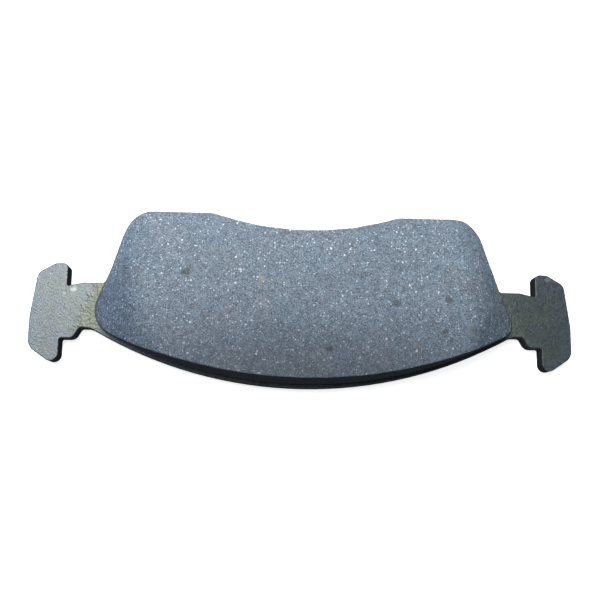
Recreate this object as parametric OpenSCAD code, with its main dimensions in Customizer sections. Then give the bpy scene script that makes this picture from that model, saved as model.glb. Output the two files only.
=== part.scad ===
// Disc brake pad with hammerhead ears.
// Lies flat: back of the plate at Z = 0, friction face up, inner (hub) side at +Y.
// Each half of every outline is drawn for X > 0 and mirrored.

/* [Whole pad] */
// Length of the pad over both ears
pad_length = 150; // [146:1:156]
// Height of the pad from the lowest point of the outer edge to the tips of the horns
pad_height = 46.8; // [46:0.2:48]
// Thickness of the backing plate
plate_thick = 5; // [4:0.5:6]
// Thickness of the whole pad when new
pad_thick = 16; // [15:0.5:17]

/* [Backing plate body] */
// Radius of the outer edge of the plate
outer_r = 119; // [117:1:122]
// Radius of the inner, hollow edge of the plate
inner_r = 77; // [74:1:80]
// Depth of the hollow edge below the tips of the horns
hollow_depth = 4.05; // [3.5:0.05:4.5]
// Half width of the plate body where its slanted side crosses Y = 0
side_x = 56.8; // [56.5:0.1:57]
// Run of the slanted side in X for each millimetre of rise in Y
side_run = 0.39; // [0.37:0.01:0.41]
// Radius of the outer corner of each horn
horn_r = 10; // [8:0.5:11]
// Radius where each horn's straight top meets the hollow edge
horn_inner_r = 6; // [4:0.5:8]
// Radius between the slanted side and the top of the neck
side_foot_r = 1.5; // [1:0.25:2]

/* [Ears] */
// Height of the neck's lower edge above the outer edge's lowest point
neck_low_h = 15.35; // [15:0.05:15.7]
// Height of the neck's upper edge above the outer edge's lowest point
neck_top_h = 27.9; // [27.5:0.1:28.3]
// Height of the shoulder under the head above the outer edge's lowest point
shoulder_h = 12.35; // [12:0.05:12.5]
// Height of the relief notch in the neck's upper edge, beside the head
relief_h = 26.85; // [26.6:0.05:27.1]
// X of the abutment face below the neck
low_abut_x = 66.6; // [66.2:0.1:67]
// X of the abutment face above the neck
top_abut_x = 65.3; // [65:0.1:65.6]
// Height of the head's lower tip above the outer edge's lowest point
head_low_h = 4.2; // [4:0.1:4.6]
// Height of the head's upper end above the outer edge's lowest point
head_top_h = 33.35; // [33.15:0.05:33.6]
// Radius of the hollow where the outer edge runs into the neck
neck_root_r = 4.4; // [3.5:0.1:5]

/* [Retention holes] */
// Distance from the middle of the pad to each retention hole
hole_x = 24; // [20:1:28]
// Radius of each retention hole
hole_r = 5; // [4:0.5:6]
// Depth of each plug's end below the back of the plate
plug_recess = 0.3; // [0.2:0.1:0.5]

/* [Moulded layers] */
// Width of the step left free round the friction material
ledge = 1; // [0.8:0.1:1.1]
// Width by which the moulded base stands out past the block at each end
skirt = 0.75; // [0.5:0.05:0.75]
// Lean of the block's outer wall over its height, in the middle of the pad
outer_lean = 0.8; // [0.6:0.1:0.9]
// Radius of the leaning outer wall, larger than its foot's, so that it stands upright at the ends
lean_r = 127.6; // [126:0.2:129]
// Thickness of the cured adhesive film
film_thick = 0.2; // [0.15:0.05:0.3]
// Thickness of the underlayer above the film
under_thick = 1.1; // [1:0.1:1.3]
// Distance from the middle of the pad to the left chamfer's edge on the friction face
left_ridge_x = 45; // [45:0.1:46]
// Distance from the middle of the pad to the right chamfer's edge on the friction face
right_ridge_x = 48.2; // [47.8:0.1:48.6]
// Slope of the left chamfer in degrees
left_deg = 38; // [36:0.5:38]
// Slope of the right chamfer in degrees
right_deg = 46; // [44:0.5:47]
// Slope of the facets at the block's two outer corners in degrees
corner_deg = 35; // [33:0.5:36]
// Radius of the soft edge between the friction face and each chamfer
ridge_r = 11; // [8:0.5:12]
// Radius of the block's outer corner at the left end
low_left_r = 7.5; // [6:0.5:8.5]
// Radius of the block's outer corner at the right end
low_right_r = 4; // [3:0.5:5]

/* [Hidden] */
low_y = -pad_height / 2;
top_y = pad_height / 2;
half_len = pad_length / 2;
outer_c = [0, low_y + outer_r];
inner_c = [0, top_y - hollow_depth + inner_r];
under_z = plate_thick + film_thick;
block_z = under_z + under_thick;
bite = 0.5;
nudge = 0.1;
slack = 0.01;
past = 2;
round_fn = 96;

neck_low_y = low_y + neck_low_h;
neck_top_y = low_y + neck_top_h;
shoulder_y = low_y + shoulder_h;
relief_y = low_y + relief_h;
head_low_y = low_y + head_low_h;
head_top_y = low_y + head_top_h;
root_in = 6;
neck_step = 5.3;
shoulder_w = 3.7;
relief_w = 4.4;
head_rise = 5.75;
head_side = 14.1;
head_lean = 1.55;
head_drop = 2.95;
crown_in = 6.2;
crown_drop = 0.2;
ear_radii = [0, 1.2, 2.4, 0.6, 2.1, 3.6, 12, 2.6, 3, 1.5, 0.4, 1, 0];
dip = 0.05;
right_turn = 14;
left_corner_y = -2;
left_corner_turn = 206;
right_corner_turn = -16;

steel_grey = [0.36, 0.40, 0.40];
film_brown = [0.24, 0.13, 0.06];
under_grey = [0.11, 0.12, 0.14];
block_blue = [0.30, 0.34, 0.40];

backing_plate();
adhesive_layer();
underlayer();
friction_block();

// ---- outlines ----

function unit(v) = v / norm(v);

// Slanted side of the body, moved inward by g: X where it crosses height y
function side_at(y, g) = side_x - side_run * y - g * norm([1, side_run]);

// Where the slanted side, moved inward by g, meets a lower arc of radius r about c
function side_foot(c, r, g) =
    let (n = unit([1, side_run]), t = [n[1], -n[0]])
    let (q = [side_at(0, g), 0] - c)
    [side_at(0, g), 0] + t * (-q * t + sqrt(pow(q * t, 2) - q * q + r * r));

// Centre of a circle of radius r that touches both from the inside
function foot_centre(c, big, g, r) = side_foot(c, big - r, g + r);

// The patch between a corner p and the circle of radius r that touches both its sides.
// Its corners run anticlockwise: beyond the corner, then along the side toward before.
module corner_patch(p, before, after, r) {
    a = unit(before - p);
    b = unit(after - p);
    half = acos(a * b) / 2;
    t = r / tan(half);
    c = p + unit(a + b) * (r / sin(half));
    patch(p - unit(a + b) * bite, p + a * t, p + b * t, c, r);
}

// A point pushed away from c by the nudge
function pushed(p, c) = p + unit(p - c) * nudge;

// The patch bounded by a point beyond the corner, two touching points and a circle.
// The circle is larger by the slack, so it crosses both sides cleanly.
module patch(beyond, touch_a, touch_b, c, r) {
    difference() {
        polygon([beyond, pushed(touch_a, c), c, pushed(touch_b, c)]);
        translate(c) circle(r = r + slack, $fn = round_fn);
    }
}

function turn(a, b, c) = cross(b - a, c - b);

// A polygon, anticlockwise, whose corners have the given radii; 0 leaves a corner sharp
module rounded(pts, radii) {
    last = len(pts) - 1;
    difference() {
        union() {
            polygon(pts);
            for (i = [0:last]) {
                a = pts[i == 0 ? last : i - 1];
                c = pts[i == last ? 0 : i + 1];
                if (radii[i] > 0 && turn(a, pts[i], c) < 0) corner_patch(pts[i], a, c, radii[i]);
            }
        }
        for (i = [0:last]) {
            a = pts[i == 0 ? last : i - 1];
            c = pts[i == last ? 0 : i + 1];
            if (radii[i] > 0 && turn(a, pts[i], c) > 0) corner_patch(pts[i], c, a, radii[i]);
        }
    }
}

// Right half of the bow-shaped body, moved inward by g, and by side_g at its end.
// foot_r rounds its outer corner.
module bow_half(g, side_g, foot_r) {
    top = top_y - g;
    big = outer_r - g;
    foot = side_foot(outer_c, big, side_g);
    tip = [side_at(top, side_g), top];
    low = low_y - past;
    difference() {
        intersection() {
            polygon([[0, low], [side_at(low, side_g), low], tip, [0, top]]);
            translate(outer_c) circle(r = big, $fn = round_fn);
        }
        translate(inner_c) circle(r = inner_r + g, $fn = round_fn);
        corner_patch(tip, [0, top], foot, horn_r - g);
        hollow_patch(top, inner_r + g);
        if (foot_r > 0) foot_patch(foot, big, side_g, foot_r);
    }
}

// Rounds the corner between a horn's straight top and the hollow edge of radius r
module hollow_patch(top, r) {
    cy = top - horn_inner_r;
    cx = sqrt(pow(r + horn_inner_r, 2) - pow(inner_c[1] - cy, 2));
    c = [cx, cy];
    corner = [sqrt(r * r - pow(inner_c[1] - top, 2)), top];
    patch(corner + [0, bite], inner_c + unit(c - inner_c) * r, [cx, top], c, horn_inner_r);
}

// Rounds the corner between the slanted side and the outer edge of radius big
module foot_patch(foot, big, g, r) {
    c = foot_centre(outer_c, big, g, r);
    n = unit([1, side_run]);
    patch(foot + unit(foot - c) * bite, c + n * r, outer_c + unit(c - outer_c) * big, c, r);
}

// Neck and hammerhead of the right ear
module ear() {
    root_x = side_at(0, 0) - root_in;
    rounded([
        [root_x, neck_low_y],
        [low_abut_x - neck_step, neck_low_y],
        [low_abut_x - shoulder_w, shoulder_y],
        [low_abut_x, shoulder_y],
        [low_abut_x, head_low_y],
        [half_len, head_low_y + head_rise],
        [half_len, head_low_y + head_side],
        [half_len - head_lean, head_top_y - head_drop],
        [half_len - crown_in, head_top_y - crown_drop],
        [top_abut_x, head_top_y],
        [top_abut_x, relief_y],
        [top_abut_x - relief_w, neck_top_y],
        [root_x, neck_top_y]
    ], ear_radii);
}

// Fillet of the hollow where the outer edge runs into the neck
module neck_root() {
    cy = neck_low_y - neck_root_r;
    c = [sqrt(pow(outer_r + neck_root_r, 2) - pow(outer_c[1] - cy, 2)), cy];
    corner = [sqrt(outer_r * outer_r - pow(outer_c[1] - neck_low_y, 2)), neck_low_y];
    touch = outer_c + unit(c - outer_c) * outer_r;
    patch(corner + [-bite, bite], touch, [c[0], neck_low_y], c, neck_root_r);
}

// Fillet where the slanted side runs into the top of the neck
module side_foot_fillet() {
    p = [side_at(neck_top_y, 0), neck_top_y];
    corner_patch(p, [half_len, neck_top_y], [side_at(top_y, 0), top_y], side_foot_r);
}

module both_sides() {
    children();
    mirror([1, 0, 0]) children();
}

module plate_outline() {
    both_sides() {
        bow_half(0, 0, 0);
        ear();
        neck_root();
        side_foot_fillet();
    }
}

// Outline of a moulded layer whose ends are moved inward by side_g
module moulded_outline(side_g) {
    bow_half(ledge, side_g, low_right_r);
    mirror([1, 0, 0]) bow_half(ledge, side_g, low_left_r);
}

module holes(r, z0, z1) {
    both_sides() translate([hole_x, 0, z0]) cylinder(r = r, h = z1 - z0, $fn = round_fn);
}

// ---- parts ----

module backing_plate() {
    color(steel_grey) difference() {
        linear_extrude(plate_thick) plate_outline();
        holes(hole_r, -past, plate_thick + past);
    }
}

module adhesive_layer() {
    color(film_brown) difference() {
        translate([0, 0, plate_thick]) linear_extrude(film_thick) moulded_outline(ledge - skirt);
        holes(hole_r, plate_thick - past, under_z + past);
    }
}

module underlayer() {
    color(under_grey) union() {
        translate([0, 0, under_z]) linear_extrude(under_thick) moulded_outline(ledge - skirt);
        holes(hole_r, plug_recess, under_z + under_thick / 2);
    }
}

// Waste above one sloping end of the friction face. p is a point of its edge on the face,
// turn_deg the direction in which it falls away and slope_deg its slope.
module end_waste(p, turn_deg, slope_deg) {
    far = half_len;
    translate([p[0], p[1], pad_thick]) rotate([0, 0, turn_deg]) rotate([90, 0, 0])
        linear_extrude(2 * far, center = true) {
            polygon([[0, 0], [far, -far * tan(slope_deg)], [far, far], [0, far]]);
            corner_patch([0, 0], [-1, 0], [cos(slope_deg), -sin(slope_deg)], ridge_r);
        }
}

// Cylinder, tilted toward the inner side, whose wall is the block's leaning outer wall
module leaning_wall() {
    rise = pad_thick - block_z;
    spare = pad_height / 4;
    translate([0, low_y + ledge - dip, block_z]) rotate([-atan((outer_lean + dip) / rise), 0, 0])
        translate([0, lean_r, -spare]) cylinder(r = lean_r, h = rise + 2 * spare, $fn = round_fn);
}

module friction_block() {
    color(block_blue) difference() {
        intersection() {
            translate([0, 0, block_z]) linear_extrude(pad_thick - block_z) moulded_outline(ledge);
            leaning_wall();
        }
        end_waste([-left_ridge_x, 0], 180, left_deg);
        end_waste([right_ridge_x, 0], right_turn, right_deg);
        end_waste([-left_ridge_x, left_corner_y], left_corner_turn, corner_deg);
        end_waste([right_ridge_x, 0], right_corner_turn, corner_deg);
    }
}
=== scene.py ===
"""Looks of a disc brake pad: coated steel plate, bond film, underlayer and friction block.

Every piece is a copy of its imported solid. Its rims are rounded and its faces cut finer, so
that the worn and moulded surfaces are real shape, and then it gets its own finish. Sizes in
the classes are millimetres; meshes are metres.
"""

import logging
import math
from dataclasses import dataclass, field
from enum import Enum
from typing import Iterator, Optional, Union

import bpy
from contextlib import contextmanager
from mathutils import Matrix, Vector


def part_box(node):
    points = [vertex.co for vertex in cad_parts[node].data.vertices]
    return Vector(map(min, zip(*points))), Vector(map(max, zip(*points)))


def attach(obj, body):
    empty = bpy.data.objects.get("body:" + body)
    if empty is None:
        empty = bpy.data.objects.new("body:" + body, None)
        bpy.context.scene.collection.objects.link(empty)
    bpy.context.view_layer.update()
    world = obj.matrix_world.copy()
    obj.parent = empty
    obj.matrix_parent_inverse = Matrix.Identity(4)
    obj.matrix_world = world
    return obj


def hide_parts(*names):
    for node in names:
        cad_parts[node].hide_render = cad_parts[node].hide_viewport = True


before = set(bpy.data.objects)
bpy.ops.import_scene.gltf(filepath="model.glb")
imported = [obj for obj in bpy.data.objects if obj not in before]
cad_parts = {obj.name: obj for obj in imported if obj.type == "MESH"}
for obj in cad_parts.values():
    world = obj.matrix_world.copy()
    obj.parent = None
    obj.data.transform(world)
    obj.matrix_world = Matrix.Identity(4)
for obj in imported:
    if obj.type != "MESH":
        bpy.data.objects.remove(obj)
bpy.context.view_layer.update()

MM = 0.001
BODY = "root"
log = logging.getLogger("pad")

Socket = bpy.types.NodeSocket
Value = Union[Socket, float]
Colour = tuple[float, float, float]
Place = tuple[float, float, float]
Tone = Union[Socket, Colour]


class Axis(Enum):
    """Direction in which a piece is cut into even slices."""

    X = 0
    Y = 1
    Z = 2


# ---- hand work on a mesh ----


def pick_only(obj: bpy.types.Object) -> None:
    """Select one object alone and make it active.

    Args:
        obj: The object to work on.
    """
    bpy.ops.object.select_all(action="DESELECT")
    obj.select_set(True)
    bpy.context.view_layer.objects.active = obj


@contextmanager
def editing(obj: bpy.types.Object) -> Iterator[bpy.types.Mesh]:
    """Hold one object in edit mode with its whole mesh selected.

    Args:
        obj: The object to edit.

    Returns:
        The object's mesh, for the length of the block.
    """
    pick_only(obj)
    bpy.ops.object.mode_set(mode="EDIT")
    bpy.ops.mesh.select_all(action="SELECT")
    try:
        yield obj.data
    finally:
        bpy.ops.object.mode_set(mode="OBJECT")


def finish_with(obj: bpy.types.Object, kind: str, **settings: object) -> None:
    """Add one modifier and apply it at once.

    Args:
        obj: The object to change.
        kind: The modifier's type.
        settings: The modifier's own settings.
    """
    pick_only(obj)
    modifier = obj.modifiers.new(kind.lower(), kind)
    for key, value in settings.items():
        setattr(modifier, key, value)
    bpy.ops.object.modifier_apply(modifier=modifier.name)


def smoothstep(low: float, high: float, value: float) -> float:
    """Soft step from 0 at low to 1 at high.

    Args:
        low: Where the step starts.
        high: Where the step ends; it may lie below low.
        value: The number to place.

    Returns:
        A share from 0 to 1.
    """
    t = min(1.0, max(0.0, (value - low) / (high - low)))
    return t * t * (3 - 2 * t)


# ---- shader layout ----


class Bench:
    """Lays out the shader nodes of one material on Object coordinates in millimetres."""

    def __init__(self, name: str) -> None:
        """Start an empty material with a shader and a millimetre position.

        Args:
            name: The material's name.
        """
        self.material = bpy.data.materials.new(name)
        self.material.use_nodes = True
        self.tree = self.material.node_tree
        self.tree.nodes.clear()
        self.shader = self.node("ShaderNodeBsdfPrincipled")
        output = self.node("ShaderNodeOutputMaterial")
        self.tree.links.new(self.shader.outputs[0], output.inputs[0])
        coords = self.node("ShaderNodeTexCoord")
        self.place = self.mapped(coords.outputs["Object"], scale=(1 / MM,) * 3)

    def node(self, kind: str, **settings: object) -> bpy.types.Node:
        """Add a node.

        Args:
            kind: The node's type.
            settings: Its own settings.

        Returns:
            The new node.
        """
        made = self.tree.nodes.new(kind)
        for key, value in settings.items():
            setattr(made, key, value)
        return made

    def feed(self, socket: Socket, value: Union[Tone, Value]) -> None:
        """Link a socket to another, or set its own number or colour.

        Args:
            socket: The input.
            value: An output socket, a number or a colour.
        """
        if isinstance(value, bpy.types.NodeSocket):
            self.tree.links.new(value, socket)
        elif isinstance(value, tuple) and socket.type == "RGBA":
            socket.default_value = (*value, 1.0)
        else:
            socket.default_value = value

    def mapped(
        self,
        vector: Socket,
        scale: Place = (1.0, 1.0, 1.0),
        turn: Place = (0.0, 0.0, 0.0),
        move: Place = (0.0, 0.0, 0.0),
    ) -> Socket:
        """Scale, turn and move a position.

        Args:
            vector: The position.
            scale: Factor along each axis.
            turn: Turn about each axis in degrees.
            move: Shift along each axis.

        Returns:
            The new position.
        """
        made = self.node("ShaderNodeMapping")
        self.feed(made.inputs["Vector"], vector)
        made.inputs["Scale"].default_value = scale
        made.inputs["Rotation"].default_value = tuple(math.radians(t) for t in turn)
        made.inputs["Location"].default_value = move
        return made.outputs[0]

    def noise(
        self,
        scale: float,
        detail: float = 2.0,
        roughness: float = 0.5,
        vector: Optional[Socket] = None,
        colour: bool = False,
    ) -> Socket:
        """Cloudy noise.

        Args:
            scale: Features per millimetre.
            detail: Number of finer layers.
            roughness: Weight of the finer layers.
            vector: Position to read, if not the piece's own.
            colour: Whether to return three noises at once.

        Returns:
            The noise, about 0.5 on average.
        """
        made = self.node("ShaderNodeTexNoise")
        self.feed(made.inputs["Vector"], vector or self.place)
        made.inputs["Scale"].default_value = scale
        made.inputs["Detail"].default_value = detail
        made.inputs["Roughness"].default_value = roughness
        return made.outputs["Color" if colour else "Fac"]

    def cells(
        self, scale: float, vector: Optional[Socket] = None
    ) -> tuple[Socket, list[Socket]]:
        """Irregular cells, each with its own three random numbers.

        Args:
            scale: Cells per millimetre.
            vector: Position to read, if not the piece's own.

        Returns:
            The distance from the cell's centre in millimetres, and the random numbers.
        """
        made = self.node("ShaderNodeTexVoronoi")
        self.feed(made.inputs["Vector"], vector or self.place)
        made.inputs["Scale"].default_value = scale
        parts = self.node("ShaderNodeSeparateColor")
        self.feed(parts.inputs[0], made.outputs["Color"])
        distance = self.maths("DIVIDE", made.outputs["Distance"], scale)
        return distance, list(parts.outputs)[:3]

    def maths(self, operation: str, a: Value, b: Value = 0.0, c: Value = 0.0) -> Socket:
        """One sum.

        Args:
            operation: The sum's name.
            a: First number.
            b: Second number.
            c: Third number.

        Returns:
            The result.
        """
        made = self.node("ShaderNodeMath", operation=operation)
        for socket, value in zip(made.inputs, (a, b, c)):
            self.feed(socket, value)
        return made.outputs[0]

    def span(
        self, value: Value, low: Value, high: Value, start: float = 0.0, end: float = 1.0
    ) -> Socket:
        """Soft step of a number from start at low to end at high.

        Args:
            value: The number.
            low: Where the step starts.
            high: Where the step ends.
            start: Result at low.
            end: Result at high.

        Returns:
            The result.
        """
        made = self.node("ShaderNodeMapRange", interpolation_type="SMOOTHSTEP")
        for name, given in zip(
            ("Value", "From Min", "From Max", "To Min", "To Max"),
            (value, low, high, start, end),
        ):
            self.feed(made.inputs[name], given)
        return made.outputs[0]

    def blend(self, share: Value, a: Tone, b: Tone, mode: str = "MIX") -> Socket:
        """Mix two colours.

        Args:
            share: Share of the second colour.
            a: First colour.
            b: Second colour.
            mode: How they mix.

        Returns:
            The mixed colour.
        """
        made = self.node("ShaderNodeMix", data_type="RGBA", blend_type=mode)
        self.feed(made.inputs[0], share)
        self.feed(made.inputs[6], a)
        self.feed(made.inputs[7], b)
        return made.outputs[2]

    def lit(self, colour: Tone, factor: Socket) -> Socket:
        """A colour made lighter or darker by a factor.

        Args:
            colour: The colour.
            factor: How much of its light is kept.

        Returns:
            The colour in its new light.
        """
        made = self.node("ShaderNodeVectorMath", operation="SCALE")
        if isinstance(colour, tuple):
            made.inputs[0].default_value = colour
        else:
            self.feed(made.inputs[0], colour)
        self.feed(made.inputs["Scale"], factor)
        return made.outputs[0]

    def split(self, vector: Socket) -> list[Socket]:
        """The three parts of a position.

        Args:
            vector: The position.

        Returns:
            The place along X, Y and Z.
        """
        made = self.node("ShaderNodeSeparateXYZ")
        self.feed(made.inputs[0], vector)
        return list(made.outputs)

    def attribute(self, name: str) -> Socket:
        """A number painted on the mesh."""
        made = self.node("ShaderNodeAttribute", attribute_name=name)
        return made.outputs["Fac"]

    def warped(self, amount: float, scale: float) -> Socket:
        """The position, pushed about by noise.

        Args:
            amount: Size of the push in millimetres.
            scale: Noise features per millimetre.

        Returns:
            The pushed position.
        """
        centred = self.node("ShaderNodeVectorMath", operation="SUBTRACT")
        self.feed(centred.inputs[0], self.noise(scale, 1.0, colour=True))
        centred.inputs[1].default_value = (0.5, 0.5, 0.5)
        pushed = self.node("ShaderNodeVectorMath", operation="MULTIPLY_ADD")
        self.feed(pushed.inputs[0], centred.outputs[0])
        pushed.inputs[1].default_value = (amount,) * 3
        self.feed(pushed.inputs[2], self.place)
        return pushed.outputs[0]

    def spot(self, x: float, y: float, reach: float, stretch: float = 1.0) -> Socket:
        """Soft mask of a mark at a place on the piece.

        Args:
            x: Place along the pad in millimetres.
            y: Place across the pad in millimetres.
            reach: Radius of the mark in millimetres.
            stretch: How many times longer than high the mark is.

        Returns:
            1 on the mark and 0 away from it.
        """
        near = self.mapped(
            self.warped(reach * 0.9, 1.1 / reach),
            scale=(1 / stretch, 1.0, 0.0),
            move=(-x / stretch, -y, 0.0),
        )
        length = self.node("ShaderNodeVectorMath", operation="LENGTH")
        self.feed(length.inputs[0], near)
        return self.span(length.outputs["Value"], reach, reach * 0.35)

    def bump(self, height: Socket, distance: float) -> Socket:
        """Relief from a height.

        Args:
            height: The height.
            distance: Depth in millimetres for a height of 1.

        Returns:
            The bumped normal.
        """
        made = self.node("ShaderNodeBump")
        made.inputs["Strength"].default_value = 1.0
        made.inputs["Distance"].default_value = distance * MM
        self.feed(made.inputs["Height"], height)
        return made.outputs[0]

    def total(self, *values: Value) -> Socket:
        """The sum of several numbers.

        Args:
            values: The numbers.

        Returns:
            Their sum.
        """
        result = values[0]
        for value in values[1:]:
            result = self.maths("ADD", result, value)
        return result

    def times(self, *values: Value) -> Socket:
        """The product of several numbers.

        Args:
            values: The numbers.

        Returns:
            Their product.
        """
        result = values[0]
        for value in values[1:]:
            result = self.maths("MULTIPLY", result, value)
        return result

    def scaled(self, value: Value, factor: Value, plus: Value) -> Socket:
        """A number times a factor, plus another number."""
        return self.maths("MULTIPLY_ADD", value, factor, plus)

    def centred(self, value: Value, reach: float) -> Socket:
        """A number from 0 to 1, spread over a reach that is centred on 0."""
        return self.scaled(value, reach, -reach / 2)

    def swung(self, value: Value, swing: float) -> Socket:
        """A number from 0 to 1, made a factor that swings about 1."""
        return self.scaled(value, swing, 1 - swing / 2)

    def dress(
        self, colour: Tone, roughness: Value, normal: Socket, **fixed: object
    ) -> bpy.types.Material:
        """Join the finish's results to the shader.

        Args:
            colour: Base colour.
            roughness: Roughness.
            normal: Bumped normal.
            fixed: Settings that are the same all over, by socket name.

        Returns:
            The material.
        """
        self.feed(self.shader.inputs["Base Color"], colour)
        self.feed(self.shader.inputs["Roughness"], roughness)
        self.feed(self.shader.inputs["Normal"], normal)
        for key, value in fixed.items():
            self.shader.inputs[key.replace("_", " ")].default_value = value
        return self.material


# ---- finishes ----


@dataclass(frozen=True)
class Ramp:
    """Soft step between two numbers.

    Attributes:
        begin: Where the step begins.
        full: Where it ends; it may lie below begin.
        first: Result at begin.
        last: Result at full.
    """

    begin: float
    full: float
    first: float = 0.0
    last: float = 1.0

    def over(self, bench: Bench, value: Value) -> Socket:
        """Lay the step out over a number."""
        return bench.span(value, self.begin, self.full, self.first, self.last)


@dataclass(frozen=True)
class Cloud:
    """Cloudy noise of one size.

    Attributes:
        scale: Features per millimetre.
        detail: Number of finer layers.
        roughness: Weight of the finer layers.
    """

    scale: float
    detail: float
    roughness: float = 0.5

    def on(self, bench: Bench, vector: Optional[Socket] = None) -> Socket:
        """Lay the noise out on the piece, or on a moved position."""
        return bench.noise(self.scale, self.detail, self.roughness, vector)


@dataclass(frozen=True)
class Fleck:
    """One size of mineral fleck in the compound.

    Attributes:
        scale: Cells per millimetre.
        share: Share of the cells that hold a fleck.
        least: Smallest radius in millimetres.
        most: Largest radius in millimetres.
        tone: Colour of the fleck.
        strength: How far the fleck hides what is under it.
        stretch: Factor on the pattern along X and Y, which draws flecks out.
        turn: Turn of the pattern in degrees.
    """

    scale: float
    share: float
    least: float
    most: float
    tone: Colour
    strength: float = 1.0
    stretch: tuple[float, float] = (1.0, 1.0)
    turn: float = 0.0

    def mask(self, bench: Bench) -> Socket:
        """Where these flecks lie.

        Args:
            bench: The material's layout.

        Returns:
            1 on a fleck and 0 beside it.
        """
        place = bench.mapped(
            bench.warped(self.most * 0.8, 0.8 / self.most),
            scale=(*self.stretch, 1.0),
            turn=(0.0, 0.0, self.turn),
            move=(self.scale * 31.0, self.scale * 17.0, 0.0),
        )
        distance, chance = bench.cells(self.scale, place)
        radius = bench.scaled(chance[1], self.most - self.least, self.least)
        disc = bench.span(distance, radius, bench.times(radius, 0.55))
        here = bench.maths("LESS_THAN", chance[0], self.share)
        bright = bench.scaled(chance[2], 0.6, 0.4)
        return bench.times(disc, here, bright, self.strength)


@dataclass(frozen=True)
class Mark:
    """One mark on a surface.

    Attributes:
        x: Place along the pad.
        y: Place across the pad.
        reach: Radius of the mark.
        tone: Colour of the mark.
        strength: How far the mark hides what is under it.
        stretch: How many times longer than high the mark is.
        sink: Depth of the mark, as a share of the finish's own.
    """

    x: float
    y: float
    reach: float
    tone: Colour
    strength: float = 0.6
    stretch: float = 1.0
    sink: float = 0.0

    def lay(self, bench: Bench, colour: Tone, speckle: Socket) -> tuple[Socket, Socket]:
        """Lay the mark over a colour.

        Args:
            bench: The material's layout.
            colour: The colour so far.
            speckle: Share of the mark that shows, which breaks it up.

        Returns:
            The new colour, and how deep the mark sinks.
        """
        mask = bench.times(bench.spot(self.x, self.y, self.reach, self.stretch), speckle)
        colour = bench.blend(bench.times(mask, self.strength), colour, self.tone)
        return colour, bench.times(mask, self.sink)


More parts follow.
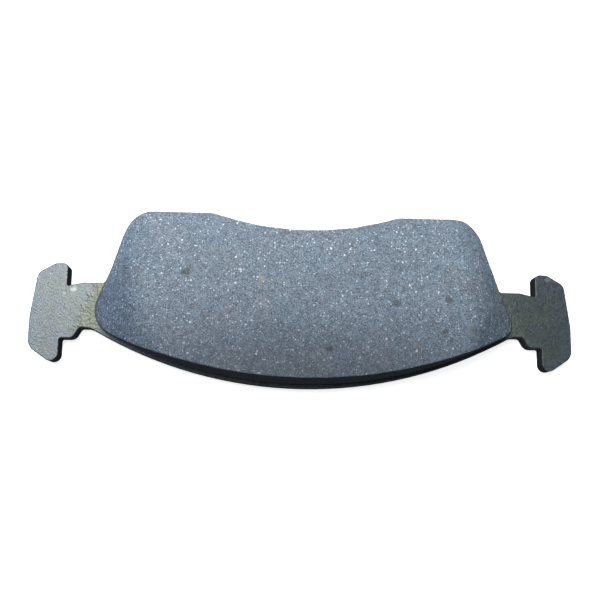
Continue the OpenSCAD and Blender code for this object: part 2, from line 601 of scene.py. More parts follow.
@dataclass(frozen=True)
class FrictionCompound:
    """Ground face and moulded wall of the friction block: blue-grey, full of pale flecks, with painted
    light and shade on the face and chamfers.
    """

    name: str = "friction_compound"
    specular: float = 0.45
    relief: float = 0.11

    ground: Colour = (0.173, 0.222, 0.280)
    warm: Colour = (0.182, 0.219, 0.268)
    warm_cloud: Cloud = Cloud(0.085, 2.0)
    warm_share: Ramp = Ramp(0.42, 0.66)
    cool: Colour = (0.165, 0.223, 0.280)
    cool_cloud: Cloud = Cloud(0.13, 2.0)
    cool_share: Ramp = Ramp(0.50, 0.70)
    cool_move: Place = (40.0, 9.0, 0.0)

    grain: float = 4.2
    grain_swing: float = 1.15
    slow_ratio: float = 0.55
    slow_swing: float = 0.20
    mottle: Cloud = Cloud(0.55, 4.0, 0.62)
    mottle_swing: float = 0.92
    fine: Cloud = Cloud(4.5, 2.0, 0.6)

    # Painted shade of the end chamfers, lighter toward the top with painted light, and a tint that
    # goes with the painted shade; the grinding streaks are real.
    chamfer: Ramp = Ramp(42.0, 50.0)
    end_shade: Ramp = Ramp(-42.0, 42.0, 0.82, 0.84)
    end_painted_light: Ramp = Ramp(-2.0, 16.0, 0.0, 0.30)
    streaks: Cloud = Cloud(1.0, 2.0)
    streak_scale: Place = (1.6, 0.10, 1.6)
    streak_swing: float = 0.55
    left_painted_shade_tint: Colour = (0.95, 1.0, 1.10)
    right_painted_shade_tint: Colour = (0.97, 1.0, 0.98)
    tint_sides: Ramp = Ramp(-10.0, 10.0)
    painted_shade_tint_fade: Ramp = Ramp(20.0, 0.0, 0.25, 1.0)
    fleck_loss: float = 0.15

    # Painted shade toward the outer edge of the face, strongest in its middle, with a bluish tint, and
    # painted light toward its inner edge and its left.
    drift: Cloud = Cloud(0.045, 2.0)
    drift_reach: float = 9.0
    low_painted_shade: Ramp = Ramp(8.5, -16.5)
    painted_shade_middle: Ramp = Ramp(54.0, 15.0, 0.72, 1.0)
    painted_shade_depth: float = 0.58
    painted_shade_tint: Colour = (0.97, 1.0, 1.05)
    top_painted_light: Ramp = Ramp(4.0, 26.0, 0.0, 0.20)
    left_painted_light: Ramp = Ramp(10.0, -40.0, 1.0, 1.08)

    skin: Colour = (0.040, 0.045, 0.053)
    skin_cloud: Cloud = Cloud(1.6, 3.0, 0.6)
    skin_swing: float = 1.5
    skin_fleck: Colour = (0.30, 0.34, 0.38)
    skin_fleck_share: float = 0.35
    rubbed_end: Ramp = Ramp(-49.0, -55.0, 1.0, 0.35)

    roughness: float = 0.50
    grain_roughness: float = 0.22
    wall_roughness: float = 0.10
    grain_relief: float = 0.30
    fine_relief: float = 0.55
    mottle_relief: float = 0.50
    fleck_relief: float = 0.25
    mark_relief: float = -8.0

    flecks: tuple[Fleck, ...] = (
        Fleck(1.5, 0.42, 0.11, 0.27, (0.68, 0.77, 0.84), 1.0),
        Fleck(0.62, 0.42, 0.20, 0.38, (0.82, 0.88, 0.93), 1.0),
        Fleck(0.50, 0.24, 0.16, 0.30, (0.78, 0.85, 0.90), 1.0, (0.45, 1.3), 35.0),
        Fleck(1.9, 0.30, 0.12, 0.24, (0.050, 0.060, 0.075), 0.75),
        Fleck(0.30, 0.16, 0.40, 0.80, (0.080, 0.090, 0.100), 0.55, (0.6, 1.2), 20.0),
        Fleck(0.17, 0.14, 0.50, 0.90, (0.42, 0.34, 0.25), 0.5),
    )
    speckle: Ramp = Ramp(0.35, 0.60, 0.60, 1.0)
    marks: tuple[Mark, ...] = (
        Mark(-31.7, 5.8, 1.25, (0.060, 0.062, 0.062), 0.90, 1.5, 0.10),
        Mark(-11.7, 4.6, 1.2, (0.42, 0.33, 0.25), 0.75),
        Mark(-11.0, -1.7, 1.0, (0.34, 0.30, 0.27), 0.40),
        Mark(-21.0, -4.6, 1.6, (0.16, 0.14, 0.18), 0.45),
        Mark(38.5, -0.1, 1.15, (0.060, 0.066, 0.068), 0.85, 1.4, 0.10),
        Mark(-17.1, -19.9, 0.5, (0.62, 0.58, 0.48), 0.80, 1.4),
        Mark(24.2, -1.1, 1.3, (0.065, 0.072, 0.078), 0.80, 1.4, 0.08),
        Mark(6.7, -13.8, 1.0, (0.040, 0.045, 0.050), 0.95, 1.5, 0.08),
        Mark(37.5, -8.4, 1.0, (0.060, 0.066, 0.070), 0.85, 1.2, 0.06),
        Mark(30.0, -12.4, 1.0, (0.32, 0.22, 0.17), 0.65),
        Mark(44.5, -7.8, 3.4, (0.22, 0.30, 0.28), 0.30, 0.6),
        Mark(-17.3, 6.9, 0.5, (0.75, 0.81, 0.86), 0.90),
    )

    def ground_tone(self, bench: Bench) -> Socket:
        """Ground colour with slow warm and cool patches.

        Args:
            bench: The material's layout.

        Returns:
            The colour.
        """
        warm = self.warm_share.over(bench, self.warm_cloud.on(bench))
        colour = bench.blend(warm, self.ground, self.warm)
        moved = bench.mapped(bench.place, move=self.cool_move)
        cool = self.cool_share.over(bench, self.cool_cloud.on(bench, moved))
        return bench.blend(cool, colour, self.cool)

    def grain_light(self, bench: Bench, chance: Socket, mottle: Socket) -> Socket:
        """Light and dark of the grain.

        Args:
            bench: The material's layout.
            chance: Random number of each grain.
            mottle: The mottle's noise.

        Returns:
            A factor, about 1 on average.
        """
        _distance, slow = bench.cells(self.grain * self.slow_ratio)
        return bench.times(
            bench.swung(chance, self.grain_swing),
            bench.swung(slow[1], self.slow_swing),
            bench.swung(mottle, self.mottle_swing),
        )

    def streaked_painted_end_shade(self, bench: Bench, x: Socket, y: Socket, end: Socket) -> Socket:
        """Painted shade of the end chamfers, lighter toward the top with painted light, combed across
        the pad by grinding streaks.

        Args:
            bench: The material's layout.
            x: Place along the pad.
            y: Place across the pad.
            end: 1 on the chamfers and 0 between them.

        Returns:
            A factor, 1 between the chamfers.
        """
        combed = bench.mapped(bench.place, scale=self.streak_scale)
        change = bench.total(
            bench.centred(self.streaks.on(bench, combed), self.streak_swing),
            self.end_shade.over(bench, x),
            self.end_painted_light.over(bench, y),
            -1.0,
        )
        return bench.scaled(end, change, 1.0)

    def painted_face_light(self, bench: Bench, x: Socket, y: Socket) -> tuple[Socket, Socket]:
        """Painted light and shade of the face: darker toward the outer edge, lighter toward the inner
        edge and the left.

        Args:
            bench: The material's layout.
            x: Place along the pad.
            y: Place across the pad.

        Returns:
            How far the painted shade reaches, and a factor of painted light and shade for all that is
            on it.
        """
        drift = bench.scaled(self.drift.on(bench), self.drift_reach, y)
        middle = self.painted_shade_middle.over(bench, bench.maths("ABSOLUTE", x))
        low = bench.times(self.low_painted_shade.over(bench, drift), middle)
        dark = bench.times(low, -self.painted_shade_depth)
        change = bench.total(1.0, dark, self.top_painted_light.over(bench, drift))
        return low, bench.times(change, self.left_painted_light.over(bench, x))

    def wall_tone(self, bench: Bench, fleck: Socket) -> Socket:
        """Colour of the dark moulded skin, with a few flecks showing through."""
        skin = bench.lit(self.skin, bench.swung(self.skin_cloud.on(bench), self.skin_swing))
        return bench.blend(bench.times(fleck, self.skin_fleck_share), skin, self.skin_fleck)

    def make(self) -> bpy.types.Material:
        """Lay out the compound.

        Returns:
            The material.
        """
        bench = Bench(self.name)
        wall = bench.attribute(Paint.WALL.value)
        x, y, _z = bench.split(bench.place)
        _distance, chance = bench.cells(self.grain)
        mottle = self.mottle.on(bench)
        fine = self.fine.on(bench)
        end = self.chamfer.over(bench, bench.maths("ABSOLUTE", x))
        # painted shade toward the outer edge and painted light toward the inner edge and the left of
        # the face
        low, painted_light_factor = self.painted_face_light(bench, x, y)

        # tint of the painted shade on the chamfers, strongest low down
        tint = bench.blend(self.tint_sides.over(bench, x), self.left_painted_shade_tint, self.right_painted_shade_tint)
        painted_shade_tinted = bench.times(end, self.painted_shade_tint_fade.over(bench, y))
        colour = bench.blend(painted_shade_tinted, self.ground_tone(bench), tint, "MULTIPLY")
        # bluish tint of the painted shade toward the outer edge
        colour = bench.blend(low, colour, self.painted_shade_tint, "MULTIPLY")
        grain = self.grain_light(bench, chance[0], mottle)
        # grain, times the painted shade and light of the chamfers
        colour = bench.lit(colour, bench.times(grain, self.streaked_painted_end_shade(bench, x, y, end)))

        kept = bench.scaled(end, -self.fleck_loss, 1.0)
        raised: list[Socket] = []
        for fleck in self.flecks:
            mask = fleck.mask(bench)
            colour = bench.blend(bench.times(mask, kept), colour, fleck.tone)
            raised.append(mask)
        speckle = self.speckle.over(bench, fine)
        sunk: list[Socket] = []
        for mark in self.marks:
            colour, depth = mark.lay(bench, colour, speckle)
            sunk.append(depth)
        # painted light and shade over the whole face
        colour = bench.lit(colour, painted_light_factor)
        rubbed = bench.times(wall, self.rubbed_end.over(bench, x))
        colour = bench.blend(rubbed, colour, self.wall_tone(bench, raised[1]))

        roughness = bench.scaled(chance[1], self.grain_roughness, self.roughness)
        roughness = bench.scaled(wall, self.wall_roughness, roughness)
        height = bench.total(
            bench.times(chance[0], self.grain_relief),
            bench.times(fine, self.fine_relief),
            bench.times(mottle, self.mottle_relief),
            bench.times(raised[0], self.fleck_relief),
            bench.times(bench.total(*sunk), self.mark_relief),
        )
        normal = bench.bump(height, self.relief)
        return bench.dress(colour, roughness, normal, Specular_IOR_Level=self.specular)


@dataclass(frozen=True)
class BaseCompound:
    """Underlayer: darker and coarser than the friction material, with short fibres."""

    name: str = "under_compound"
    specular: float = 0.4
    relief: float = 0.16

    body: Colour = (0.085, 0.098, 0.118)
    dark: Colour = (0.035, 0.038, 0.045)
    mottle: Cloud = Cloud(1.3, 4.0, 0.62)
    mottle_share: Ramp = Ramp(0.38, 0.66)
    grain: float = 2.4
    grain_swing: float = 0.7
    grain_swung_from: float = 0.65
    wall_shade: float = -0.45

    dust: Colour = (0.085, 0.108, 0.140)
    dust_cover: float = 0.6
    dust_left: Ramp = Ramp(-20.0, -46.0)
    dust_low: Ramp = Ramp(-4.0, -10.0)
    dust_end: Ramp = Ramp(-51.0, -55.0)

    fibre: Colour = (0.34, 0.36, 0.36)
    fibres: tuple[Fleck, ...] = (
        Fleck(0.8, 0.30, 0.10, 0.20, fibre, 0.55, (0.35, 1.8), 25.0),
        Fleck(0.8, 0.30, 0.10, 0.20, fibre, 0.55, (0.4, 1.6), -55.0),
    )

    roughness: float = 0.55
    mottle_roughness: float = 0.30
    mottle_relief: float = 0.8
    grain_relief: float = 0.25
    fibre_relief: float = 0.4

    def make(self) -> bpy.types.Material:
        """Lay out the underlayer's finish.

        Returns:
            The material.
        """
        bench = Bench(self.name)
        wall = bench.attribute(Paint.WALL.value)
        x, y, _z = bench.split(bench.place)
        mottle = self.mottle.on(bench)
        _distance, chance = bench.cells(self.grain)
        body = bench.blend(self.mottle_share.over(bench, mottle), self.dark, self.body)
        body = bench.lit(body, bench.scaled(chance[0], self.grain_swing, self.grain_swung_from))
        body = bench.lit(body, bench.scaled(wall, self.wall_shade, 1.0))
        corner = bench.times(self.dust_left.over(bench, x), self.dust_low.over(bench, y))
        dusted = bench.maths("MAXIMUM", corner, self.dust_end.over(bench, x))
        body = bench.blend(bench.times(dusted, self.dust_cover), body, self.dust)
        raised: list[Socket] = []
        for fleck in self.fibres:
            mask = fleck.mask(bench)
            body = bench.blend(mask, body, fleck.tone)
            raised.append(mask)
        roughness = bench.scaled(mottle, self.mottle_roughness, self.roughness)
        height = bench.total(
            bench.times(mottle, self.mottle_relief),
            bench.times(chance[1], self.grain_relief),
            bench.times(raised[0], self.fibre_relief),
        )
        normal = bench.bump(height, self.relief)
        return bench.dress(body, roughness, normal, Specular_IOR_Level=self.specular)


@dataclass(frozen=True)
class BondFilm:
    """Cured adhesive: dark amber resin with a dull, uneven edge."""

    name: str = "bond_film"
    amber: Colour = (0.085, 0.055, 0.028)
    char: Colour = (0.022, 0.018, 0.015)
    cloud: Cloud = Cloud(0.55, 3.0, 0.6)
    amber_share: Ramp = Ramp(0.36, 0.64)
    gloss_cloud: Cloud = Cloud(1.7, 2.0)
    roughness: Ramp = Ramp(0.3, 0.7, 0.28, 0.55)
    ripple: Cloud = Cloud(2.6, 3.0, 0.55)
    relief: float = 0.05
    coat: float = 0.25
    coat_roughness: float = 0.2

    def make(self) -> bpy.types.Material:
        """Lay out the resin.

        Returns:
            The material.
        """
        bench = Bench(self.name)
        share = self.amber_share.over(bench, self.cloud.on(bench))
        colour = bench.blend(share, self.char, self.amber)
        roughness = self.roughness.over(bench, self.gloss_cloud.on(bench))
        normal = bench.bump(self.ripple.on(bench), self.relief)
        return bench.dress(
            colour, roughness, normal, Coat_Weight=self.coat, Coat_Roughness=self.coat_roughness
        )


@dataclass(frozen=True)
class PlateCoat:
    """Plate's thin grey-green coat over shot-blasted steel, with primer near the compound."""

    name: str = "plate_coat"
    metallic: float = 0.4
    specular: float = 0.85
    relief: float = 0.07

    coat: Colour = (0.056, 0.072, 0.073)
    cool: Colour = (0.052, 0.069, 0.079)
    cool_cloud: Cloud = Cloud(0.16, 3.0, 0.55)
    coat_share: Ramp = Ramp(0.40, 0.62)
    warm: Colour = (0.060, 0.075, 0.070)
    warm_cloud: Cloud = Cloud(0.22, 3.0, 0.55)
    warm_share: Ramp = Ramp(0.50, 0.68)
    warm_move: Place = (21.0, 5.0, 3.0)

    primer: Colour = (0.118, 0.138, 0.074)
    primer_cover: float = 0.8
    block_side: float = 55.7
    block_run: float = 0.39
    primer_cloud: Cloud = Cloud(0.35, 3.0, 0.6)
    primer_ragged: float = 9.0
    primer_reach: Ramp = Ramp(5.0, 1.5)
    primer_low: Ramp = Ramp(-10.5, -8.0)
    primer_side: Ramp = Ramp(40.0, -40.0, 0.40, 1.0)
    lumps: Cloud = Cloud(1.15, 2.0, 0.55)
    lump_share: Ramp = Ramp(0.34, 0.60, 0.35, 1.0)

    dust: Colour = (0.046, 0.052, 0.062)
    left_dust: Colour = (0.072, 0.092, 0.118)
    dust_left: Ramp = Ramp(-20.0, -48.0)
    dust_cover: float = 0.85
    arc_centre: float = 95.6
    dust_arc: Ramp = Ramp(116.5, 117.5)
    dust_ends: Ramp = Ramp(58.0, 52.0)

    chilled: Colour = (0.050, 0.077, 0.098)
    chill_cover: float = 0.75
    ear_end: Ramp = Ramp(69.5, 74.5)
    ear_top: Ramp = Ramp(7.0, 13.0)
    ear_foot: Ramp = Ramp(-15.0, -20.0)
    ear_only: Ramp = Ramp(59.0, 63.0)

    grit: Cloud = Cloud(1.7, 3.0, 0.70)
    grit_swing: float = 1.30
    pits: float = 2.1
    pit_swing: float = 0.44
    least_light: float = 0.13
    bare: Colour = (0.60, 0.62, 0.63)
    speck: Fleck = Fleck(0.9, 0.16, 0.10, 0.22, bare, 0.5)
    wear_cloud: Cloud = Cloud(0.9, 3.0, 0.6)
    wear_share: Ramp = Ramp(0.50, 0.68)
    wear_cover: float = 0.30
    speckle: Ramp = Ramp(0.30, 0.55, 0.4, 1.0)
    marks: tuple[Mark, ...] = (
        Mark(-63.4, 2.5, 0.9, (0.30, 0.33, 0.34), 0.60, 1.3),
        Mark(68.9, 8.5, 0.9, (0.24, 0.27, 0.31), 0.60, 1.2),
        Mark(-65.9, 1.3, 0.4, (0.26, 0.28, 0.28), 0.45, 1.6),
    )

    sheared: Colour = (0.050, 0.054, 0.058)
    torn: Colour = (0.026, 0.028, 0.030)
    shear_line: float = 2.0
    shear_cloud: Cloud = Cloud(0.6, 3.0, 0.6)
    shear_ragged: float = 1.6
    shear_soft: float = 0.25
    drag: Cloud = Cloud(1.0, 3.0, 0.6)
    drag_scale: Place = (2.6, 2.6, 0.16)
    drag_swing: float = 1.2

    roughness: float = 0.26
    grit_roughness: float = 0.16
    primer_roughness: float = 0.06
    wall_roughness: float = 0.18
    dust_roughness: float = 0.22
    blast: Cloud = Cloud(1.8, 3.0, 0.6)
    blast_relief: float = 0.95
    pit_relief: float = 0.10
    lump_relief: float = 2.6
    drag_relief: float = 0.8
    tear: Cloud = Cloud(2.0, 4.0, 0.65)
    tear_relief: float = 2.2

    def primed(self, bench: Bench, x: Socket, y: Socket) -> Socket:
        """How much primer shows beside the block, on the necks.

        Args:
            bench: The material's layout.
            x: Place along the pad.
            y: Place across the pad.

        Returns:
            1 at the block and 0 away from it.
        """
        gap = bench.total(
            bench.maths("ABSOLUTE", x),
            bench.times(y, self.block_run),
            -self.block_side,
            bench.centred(self.primer_cloud.on(bench), self.primer_ragged),
        )
        return bench.times(
            self.primer_reach.over(bench, gap),
            self.primer_low.over(bench, y),
            self.primer_side.over(bench, x),
        )

    def dusty(self, bench: Bench, x: Socket, y: Socket) -> Socket:
        """Where grinding dust lies, on the strip along the outer edge.

        Args:
            bench: The material's layout.
            x: Place along the pad.
            y: Place across the pad.

        Returns:
            1 on the dust and 0 beside it.
        """
        down = bench.maths("SUBTRACT", self.arc_centre, y)
        arc = bench.maths("SQRT", bench.total(bench.times(x, x), bench.times(down, down)))
        return bench.times(
            self.dust_arc.over(bench, arc), self.dust_ends.over(bench, bench.maths("ABSOLUTE", x))
        )

    def ear_rim(self, bench: Bench, x: Socket, y: Socket) -> Socket:
        """Outer parts of the two ears, where the coat looks bluer.

        Args:
            bench: The material's layout.
            x: Place along the pad.
            y: Place across the pad.

        Returns:
            1 at an ear's rim and 0 in its middle.
        """
        along = bench.maths("ABSOLUTE", x)
        ends = bench.maths("MAXIMUM", self.ear_top.over(bench, y), self.ear_foot.over(bench, y))
        outer = bench.maths("MAXIMUM", self.ear_end.over(bench, along), ends)
        return bench.times(outer, self.ear_only.over(bench, along))

    def punched(self, bench: Bench, torn: Socket, drag: Socket) -> Socket:
        """Colour of the punched wall: sheared above, torn below, streaked by the punch."""
        edge = bench.blend(torn, self.sheared, self.torn)
        return bench.lit(edge, bench.swung(drag, self.drag_swing))

    def make(self) -> bpy.types.Material:
        """Lay out the coat, primer, scuffs and punched edge.

        Returns:
            The material.
        """
        bench = Bench(self.name)
        wall = bench.attribute(Paint.WALL.value)
        rim = bench.attribute(Paint.RIM.value)
        x, y, z = bench.split(bench.place)
        near = self.primed(bench, x, y)
        dusted = self.dusty(bench, x, y)
        lumps = self.lumps.on(bench)
        grit = self.grit.on(bench)
        _distance, pit = bench.cells(self.pits)

        share = self.coat_share.over(bench, self.cool_cloud.on(bench))
        colour = bench.blend(share, self.cool, self.coat)
        moved = bench.mapped(bench.place, move=self.warm_move)
        share = self.warm_share.over(bench, self.warm_cloud.on(bench, moved))
        colour = bench.blend(share, colour, self.warm)
        patchy = bench.times(near, self.lump_share.over(bench, lumps), self.primer_cover)
        colour = bench.blend(patchy, colour, self.primer)
        dust = bench.blend(self.dust_left.over(bench, x), self.dust, self.left_dust)
        colour = bench.blend(bench.times(dusted, self.dust_cover), colour, dust)
        outer = bench.times(self.ear_rim(bench, x, y), self.chill_cover)
        colour = bench.blend(outer, colour, self.chilled)

        light = bench.total(
            bench.times(grit, self.grit_swing), bench.times(pit[0], self.pit_swing), self.least_light
        )
        colour = bench.lit(colour, light)
        colour = bench.blend(self.speck.mask(bench), colour, self.bare)
        worn = self.wear_share.over(bench, self.wear_cloud.on(bench))
        colour = bench.blend(bench.times(rim, worn, self.wear_cover), colour, self.bare)
        speckle = self.speckle.over(bench, grit)
        for mark in self.marks:
            colour, _depth = mark.lay(bench, colour, speckle)

        ragged = bench.centred(self.shear_cloud.on(bench), self.shear_ragged)
        ragged = bench.total(ragged, self.shear_line)
        above = bench.maths("ADD", ragged, self.shear_soft)
        below = bench.maths("SUBTRACT", ragged, self.shear_soft)
        torn = bench.span(z, above, below)
        drag = self.drag.on(bench, bench.mapped(bench.place, scale=self.drag_scale))
        colour = bench.blend(wall, colour, self.punched(bench, torn, drag))

        roughness = bench.total(
            self.roughness,
            bench.times(grit, self.grit_roughness),
            bench.times(near, self.primer_roughness),
            bench.times(wall, self.wall_roughness),
            bench.times(dusted, self.dust_roughness),
        )
        flat = bench.total(
            bench.times(self.blast.on(bench), self.blast_relief),
            bench.times(pit[1], self.pit_relief),
            bench.times(lumps, near, self.lump_relief),
        )
        side = bench.total(
            bench.times(drag, self.drag_relief),
            bench.times(torn, self.tear.on(bench), self.tear_relief),
        )
        flat = bench.times(flat, bench.maths("SUBTRACT", 1.0, wall))
        normal = bench.bump(bench.scaled(side, wall, flat), self.relief)
        return bench.dress(
            colour, roughness, normal, Metallic=self.metallic, Specular_IOR_Level=self.specular
        )


@dataclass(frozen=True)
class Paper:
    """Plain white studio paper with a faint tooth."""

    name: str = "studio_paper"
    white: Colour = (0.93, 0.93, 0.93)
    glow: float = 0.85
    tooth: Cloud = Cloud(0.8, 2.0)
    tooth_swing: float = 0.01
    roughness: float = 0.9
    specular: float = 0.1
    relief: float = 0.01

    def make(self) -> bpy.types.Material:
        """Lay out the paper.

        Returns:
            The material.
        """
        bench = Bench(self.name)
        tooth = self.tooth.on(bench)
        return bench.dress(
            bench.lit(self.white, bench.swung(tooth, self.tooth_swing)),
            self.roughness,
            bench.bump(tooth, self.relief),
            Specular_IOR_Level=self.specular,
            Emission_Color=(*self.white, 1.0),
            Emission_Strength=self.glow,
        )


# ---- pieces ----


class Paint(Enum):
    """Numbers painted on a piece's points, which its finish reads."""

    WALL = "pad_wall"
    RIM = "pad_rim"


@dataclass
class Piece:
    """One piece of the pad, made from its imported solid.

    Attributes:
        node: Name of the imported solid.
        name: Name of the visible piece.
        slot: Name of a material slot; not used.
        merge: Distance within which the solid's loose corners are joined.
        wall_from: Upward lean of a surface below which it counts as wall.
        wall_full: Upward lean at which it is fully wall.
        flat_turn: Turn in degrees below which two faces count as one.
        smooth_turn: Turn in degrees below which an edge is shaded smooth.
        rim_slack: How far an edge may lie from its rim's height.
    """

    node: str
    name: str
    slot: str
    merge: float = 0.01
    wall_from: float = 0.62
    wall_full: float = 0.28
    flat_turn: float = 0.3
    smooth_turn: float = 40.0
    rim_slack: float = 0.01

    def copied(self) -> bpy.types.Object:
        """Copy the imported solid, join its triangles and clear the seams in flat faces.

        Returns:
            The copy, free of any parent.
        """
        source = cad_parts[self.node]
        pick_only(source)
        bpy.ops.object.duplicate()
        obj = bpy.context.view_layer.objects.active
        obj.name = self.name
        obj.data.name = self.name
        obj.parent = None
        for key in list(obj.keys()):
            if key.startswith("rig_"):
                del obj[key]
        obj.data.materials.clear()
        with editing(obj):
            bpy.ops.mesh.remove_doubles(threshold=self.merge * MM)
            bpy.ops.mesh.dissolve_limited(angle_limit=math.radians(self.flat_turn))
        if obj.data.has_custom_normals:
            bpy.ops.mesh.customdata_custom_splitnormals_clear()
        return obj

    def round_edges(
        self,
        obj: bpy.types.Object,
        width: float,
        steps: int,
        low: float,
        high: float,
        least: float = 50.0,
    ) -> None:
        """Round the sharp edges that lie between two heights.

        Args:
            obj: The piece.
            width: Width of the rounding.
            steps: Number of facets across it.
            low: Lowest height of an edge.
            high: Greatest height of an edge.
            least: Smallest turn between an edge's faces, in degrees.
        """
        mesh = obj.data
        weights = mesh.attributes.get("bevel_weight_edge")
        if weights is None:
            weights = mesh.attributes.new("bevel_weight_edge", "FLOAT", "EDGE")
        faces: dict[tuple[int, int], list[Vector]] = {}
        for face in mesh.polygons:
            for key in face.edge_keys:
                faces.setdefault(key, []).append(face.normal)
        for edge in mesh.edges:
            heights = [mesh.vertices[v].co.z / MM for v in edge.vertices]
            sides = faces[tuple(sorted(edge.vertices))]
            turned = len(sides) == 2 and sides[0].angle(sides[1], 0.0) > math.radians(least)
            inside = min(heights) >= low and max(heights) <= high
            weights.data[edge.index].value = 1.0 if turned and inside else 0.0
        finish_with(
            obj, "BEVEL", width=width * MM, segments=steps, limit_method="WEIGHT",
            use_clamp_overlap=False, loop_slide=False, miter_outer="MITER_SHARP",
        )
        left = obj.data.attributes.get("bevel_weight_edge")
        if left is not None:
            obj.data.attributes.remove(left)

    def round_rim(self, obj: bpy.types.Object, width: float, steps: int, height: float) -> None:
        """Round the sharp edges of the rim at one height."""
        self.round_edges(obj, width, steps, height - self.rim_slack, height + self.rim_slack)

    def smooth(self, obj: bpy.types.Object) -> None:
        """Shade the piece smooth, except across its sharp edges."""
        pick_only(obj)
        bpy.ops.object.shade_smooth_by_angle(angle=math.radians(self.smooth_turn))

    def slice_evenly(self, obj: bpy.types.Object, axis: Axis, step: float) -> None:
        """Cut the whole piece by parallel planes.

        Args:
            obj: The piece.
            axis: Direction across the planes.
            step: Distance between planes.
        """
        places = [v.co[axis.value] / MM for v in obj.data.vertices]
        start, stop = min(places), max(places)
        count = max(1, round((stop - start) / step))
        normal = [0.0, 0.0, 0.0]
        normal[axis.value] = 1.0
        with editing(obj):
            for i in range(1, count):
                point = [0.0, 0.0, 0.0]
                point[axis.value] = (start + (stop - start) * i / count) * MM
                bpy.ops.mesh.select_all(action="SELECT")
                bpy.ops.mesh.bisect(plane_co=point, plane_no=normal)

    def paint(self, obj: bpy.types.Object, which: Paint, numbers: list[float]) -> None:
        """Paint one number on each point of a piece.

        Args:
            obj: The piece.
            which: What the numbers mean.
            numbers: One number for each point, from 0 to 1.
        """
        layer = obj.data.attributes.new(which.value, "FLOAT", "POINT")
        layer.data.foreach_set("value", numbers)

    def paint_walls(self, obj: bpy.types.Object) -> None:
        """Paint the walls by how far each point's surface leans from upright."""
        leans = [abs(v.normal.z) for v in obj.data.vertices]
        self.paint(obj, Paint.WALL, [smoothstep(self.wall_from, self.wall_full, n) for n in leans])

    def hand_in(self, obj: bpy.types.Object, material: bpy.types.Material) -> bpy.types.Object:
        """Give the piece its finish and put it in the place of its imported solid.

        Args:
            obj: The piece.
            material: Its finish.

        Returns:
            The piece.
        """
        obj.data.materials.append(material)
        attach(obj, BODY)
        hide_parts(self.node)
        log.info("%s: %d faces", self.name, len(obj.data.polygons))
        return obj


def cloud_texture(name: str, size: float, depth: int, low: float, high: float) -> bpy.types.Texture:
    """Cloudy heights for carving a surface.

    Args:
        name: Name of the texture.
        size: Size of a cloud in millimetres.
        depth: Number of finer layers.
        low: Cloud value that gives black.
        high: Cloud value that gives white.

    Returns:
        The texture.
    """
    made = bpy.data.textures.new(name, "CLOUDS")
    made.noise_scale = size * MM
    made.noise_depth = depth
    made.use_color_ramp = True
    first, last = made.color_ramp.elements
    first.position, last.position = low, high
    first.color, last.color = (0, 0, 0, 1), (1, 1, 1, 1)
    return made


@dataclass
class FrictionBlock(Piece):
    """Ground face, two end chamfers and leaning moulded walls."""

    node: str = "friction_block"
    name: str = "friction_block_body"
    slot: str = "friction_compound"
    smooth_turn: float = 50.0
    rim_width: float = 0.28
    rim_steps: int = 3
    slice_step: float = 1.0
    wall_step: float = 1.2
    swell: float = 0.14
    swell_size: float = 5.0
    tooth: float = 0.05
    tooth_size: float = 0.9
    chip: float = 0.30
    chip_size: float = 1.3
    foot: float = 0.4
    finish: FrictionCompound = field(default_factory=FrictionCompound)

    def grip(self, obj: bpy.types.Object) -> None:
        """Weigh the points for carving: none at the foot, and the rim by itself.

        Args:
            obj: The piece.
        """
        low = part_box(self.node)[0].z / MM
        body = obj.vertex_groups.new(name="body")
        rim = obj.vertex_groups.new(name="rim")
        for v in obj.data.vertices:
            height = smoothstep(low + 0.05, low + self.foot, v.co.z / MM)
            body.add([v.index], height, "REPLACE")
            lean = abs(v.normal.z)
            edge = smoothstep(0.15, 0.45, lean) * smoothstep(0.76, 0.60, lean)
            rim.add([v.index], edge * height, "REPLACE")

    def carve(self, obj: bpy.types.Object, name: str, size: float, depth: float, group: str,
              low: float = 0.2, high: float = 0.8) -> None:
        """Sink a surface by cloudy heights, never above its true place.

        Args:
            obj: The piece.
            name: Name of the heights.
            size: Size of a cloud.
            depth: Greatest sink.
            group: Points that take part.
            low: Cloud value that sinks most.
            high: Cloud value that doesn't sink.
        """
        finish_with(
            obj, "DISPLACE", texture=cloud_texture(name, size, 2, low, high), texture_coords="LOCAL",
            mid_level=1.0, strength=depth * MM, vertex_group=group,
        )

    def build(self) -> bpy.types.Object:
        """Shape, carve and dress the block.

        Returns:
            The piece.
        """
        obj = self.copied()
        low, high = (corner.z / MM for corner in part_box(self.node))
        self.round_edges(obj, self.rim_width, self.rim_steps, low + 0.2, high + 0.1, 40.0)
        self.slice_evenly(obj, Axis.X, self.slice_step)
        self.slice_evenly(obj, Axis.Y, self.slice_step)
        self.slice_evenly(obj, Axis.Z, self.wall_step)
        finish_with(obj, "SUBSURF", subdivision_type="SIMPLE", levels=1, render_levels=1)
        self.grip(obj)
        self.carve(obj, "swell", self.swell_size, self.swell, "body")
        self.carve(obj, "tooth", self.tooth_size, self.tooth, "body")
        self.carve(obj, "chips", self.chip_size, self.chip, "rim", 0.30, 0.52)
        obj.vertex_groups.clear()
        self.smooth(obj)
        self.paint_walls(obj)
        return self.hand_in(obj, self.finish.make())


@dataclass
class Underlayer(Piece):
    """Moulded base under the block, with plugs that fill the plate's holes."""

    node: str = "underlayer"
    name: str = "underlayer_body"
    slot: str = "under_compound"
    rim_width: float = 0.30
    plug_rim: float = 0.35
    finish: BaseCompound = field(default_factory=BaseCompound)

    def build(self) -> bpy.types.Object:
        """Shape and dress the underlayer.

        Returns:
            The piece.
        """
        obj = self.copied()
        low, high = (corner.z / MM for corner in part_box(self.node))
        self.round_rim(obj, self.rim_width, 3, high)
        self.round_rim(obj, self.plug_rim, 3, low)
        self.smooth(obj)
        self.paint_walls(obj)
        return self.hand_in(obj, self.finish.make())


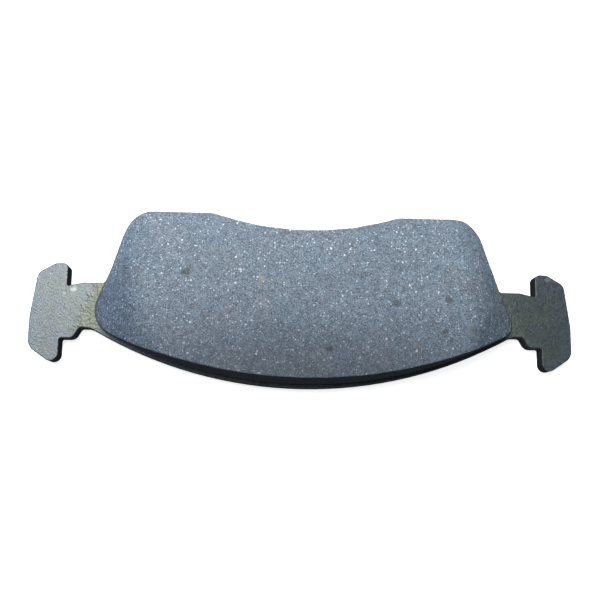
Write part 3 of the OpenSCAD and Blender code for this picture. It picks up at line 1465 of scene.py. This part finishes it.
@dataclass
class AdhesiveFilm(Piece):
    """Thin cured film between the plate and the underlayer."""

    node: str = "adhesive_layer"
    name: str = "adhesive_film"
    slot: str = "bond_film"
    lip: float = 0.07
    finish: BondFilm = field(default_factory=BondFilm)

    def build(self) -> bpy.types.Object:
        """Round the film's lip and dress it.

        Returns:
            The piece.
        """
        obj = self.copied()
        self.round_rim(obj, self.lip, 2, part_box(self.node)[1].z / MM)
        self.smooth(obj)
        return self.hand_in(obj, self.finish.make())


@dataclass
class BackingPlate(Piece):
    """Punched steel plate with hammerhead ears: rolled front rim, sharper back rim."""

    node: str = "backing_plate"
    name: str = "backing_plate_body"
    slot: str = "plate_steel"
    roll: float = 0.25
    roll_steps: int = 4
    burr: float = 0.18
    finish: PlateCoat = field(default_factory=PlateCoat)

    def build(self) -> bpy.types.Object:
        """Round the rims and dress the plate.

        Returns:
            The piece.
        """
        obj = self.copied()
        low, high = (corner.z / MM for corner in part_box(self.node))
        self.round_rim(obj, self.roll, self.roll_steps, high)
        self.round_rim(obj, self.burr, 2, low)
        self.smooth(obj)
        finish_with(obj, "WEIGHTED_NORMAL", keep_sharp=True, weight=100)
        self.paint_walls(obj)
        leans = [abs(v.normal.z) for v in obj.data.vertices]
        self.paint(obj, Paint.RIM, [smoothstep(0.2, 0.5, n) * smoothstep(0.99, 0.8, n) for n in leans])
        return self.hand_in(obj, self.finish.make())


# ---- studio ----


@dataclass
class Softbox:
    """One soft studio light.

    Attributes:
        name: Name of the light.
        place: Where it stands, in metres.
        size: Diameter in metres.
        power: Power in watts.
        tint: Colour of the light.
    """

    name: str
    place: Place
    size: float
    power: float
    tint: Colour = (1.0, 1.0, 1.0)

    def build(self) -> bpy.types.Object:
        """Add the light, turned to the pad.

        Returns:
            The light.
        """
        bpy.ops.object.light_add(type="AREA", location=self.place)
        lamp = bpy.context.view_layer.objects.active
        lamp.name = self.name
        lamp.data.shape = "DISK"
        lamp.data.size = self.size
        lamp.data.energy = self.power
        lamp.data.color = self.tint
        aim = Vector((0.0, 0.0, 0.0)) - Vector(self.place)
        lamp.rotation_euler = aim.to_track_quat("-Z", "Y").to_euler()
        return lamp


@dataclass
class Studio:
    """Floor, lights and camera."""

    floor_size: float = 6.0
    floor_gap: float = 0.0001
    world_light: Colour = (0.052, 0.064, 0.076)
    world_seen: Colour = (1.0, 1.0, 1.0)
    camera_place: Place = (-0.009677, -0.040593, 0.238252)
    camera_turn: Place = (10.0658, -2.3144, 1.0012)
    lens: float = 51.178
    film: float = 36.0
    lights: tuple[Softbox, ...] = (
        Softbox("key_light", (-0.18, 0.30, 0.90), 0.56, 9.5),
        Softbox("fill_light", (1.00, 0.25, 0.55), 0.70, 0.9, (0.86, 0.95, 1.0)),
        Softbox("front_light", (-0.20, -1.00, 0.16), 0.60, 1.8, (0.90, 0.95, 1.0)),
        Softbox("back_light", (0.25, 1.00, 0.16), 0.60, 1.2, (0.90, 0.95, 1.0)),
    )

    def lay_floor(self) -> bpy.types.Object:
        """Lay the white floor under the pad.

        Returns:
            The floor.
        """
        bpy.ops.mesh.primitive_plane_add(size=self.floor_size, location=(0, 0, -self.floor_gap))
        floor = bpy.context.view_layer.objects.active
        floor.name = "floor"
        floor.data.materials.append(Paper().make())
        floor.visible_diffuse = False
        floor.visible_glossy = False
        return floor

    def light_world(self) -> None:
        """Make a dim world that looks pale to the camera."""
        world = bpy.data.worlds.new("studio")
        bpy.context.scene.world = world
        world.use_nodes = True
        tree = world.node_tree
        tree.nodes.clear()
        path = tree.nodes.new("ShaderNodeLightPath")
        mix = tree.nodes.new("ShaderNodeMixShader")
        output = tree.nodes.new("ShaderNodeOutputWorld")
        tree.links.new(path.outputs["Is Camera Ray"], mix.inputs[0])
        for slot, colour in ((1, self.world_light), (2, self.world_seen)):
            glow = tree.nodes.new("ShaderNodeBackground")
            glow.inputs[0].default_value = (*colour, 1.0)
            tree.links.new(glow.outputs[0], mix.inputs[slot])
        tree.links.new(mix.outputs[0], output.inputs[0])

    def place_camera(self) -> bpy.types.Object:
        """Stand the camera above the pad.

        Returns:
            The camera.
        """
        bpy.ops.object.camera_add(
            location=self.camera_place, rotation=tuple(math.radians(a) for a in self.camera_turn)
        )
        camera = bpy.context.view_layer.objects.active
        camera.name = "camera"
        camera.data.sensor_width = self.film
        camera.data.lens = self.lens
        camera.data.clip_start = 0.005
        bpy.context.scene.camera = camera
        return camera

    def build(self) -> None:
        """Set up the floor, world, lights and camera."""
        self.lay_floor()
        self.light_world()
        for lamp in self.lights:
            lamp.build()
        self.place_camera()
        view = bpy.context.scene.view_settings
        view.view_transform = "Standard"
        view.look = "None"


def main() -> None:
    """Build the pieces, then the studio."""
    logging.basicConfig(level=logging.INFO, format="%(name)s: %(message)s")
    for piece in (BackingPlate(), AdhesiveFilm(), Underlayer(), FrictionBlock()):
        piece.build()
    Studio().build()


if __name__ == "__main__":
    main()
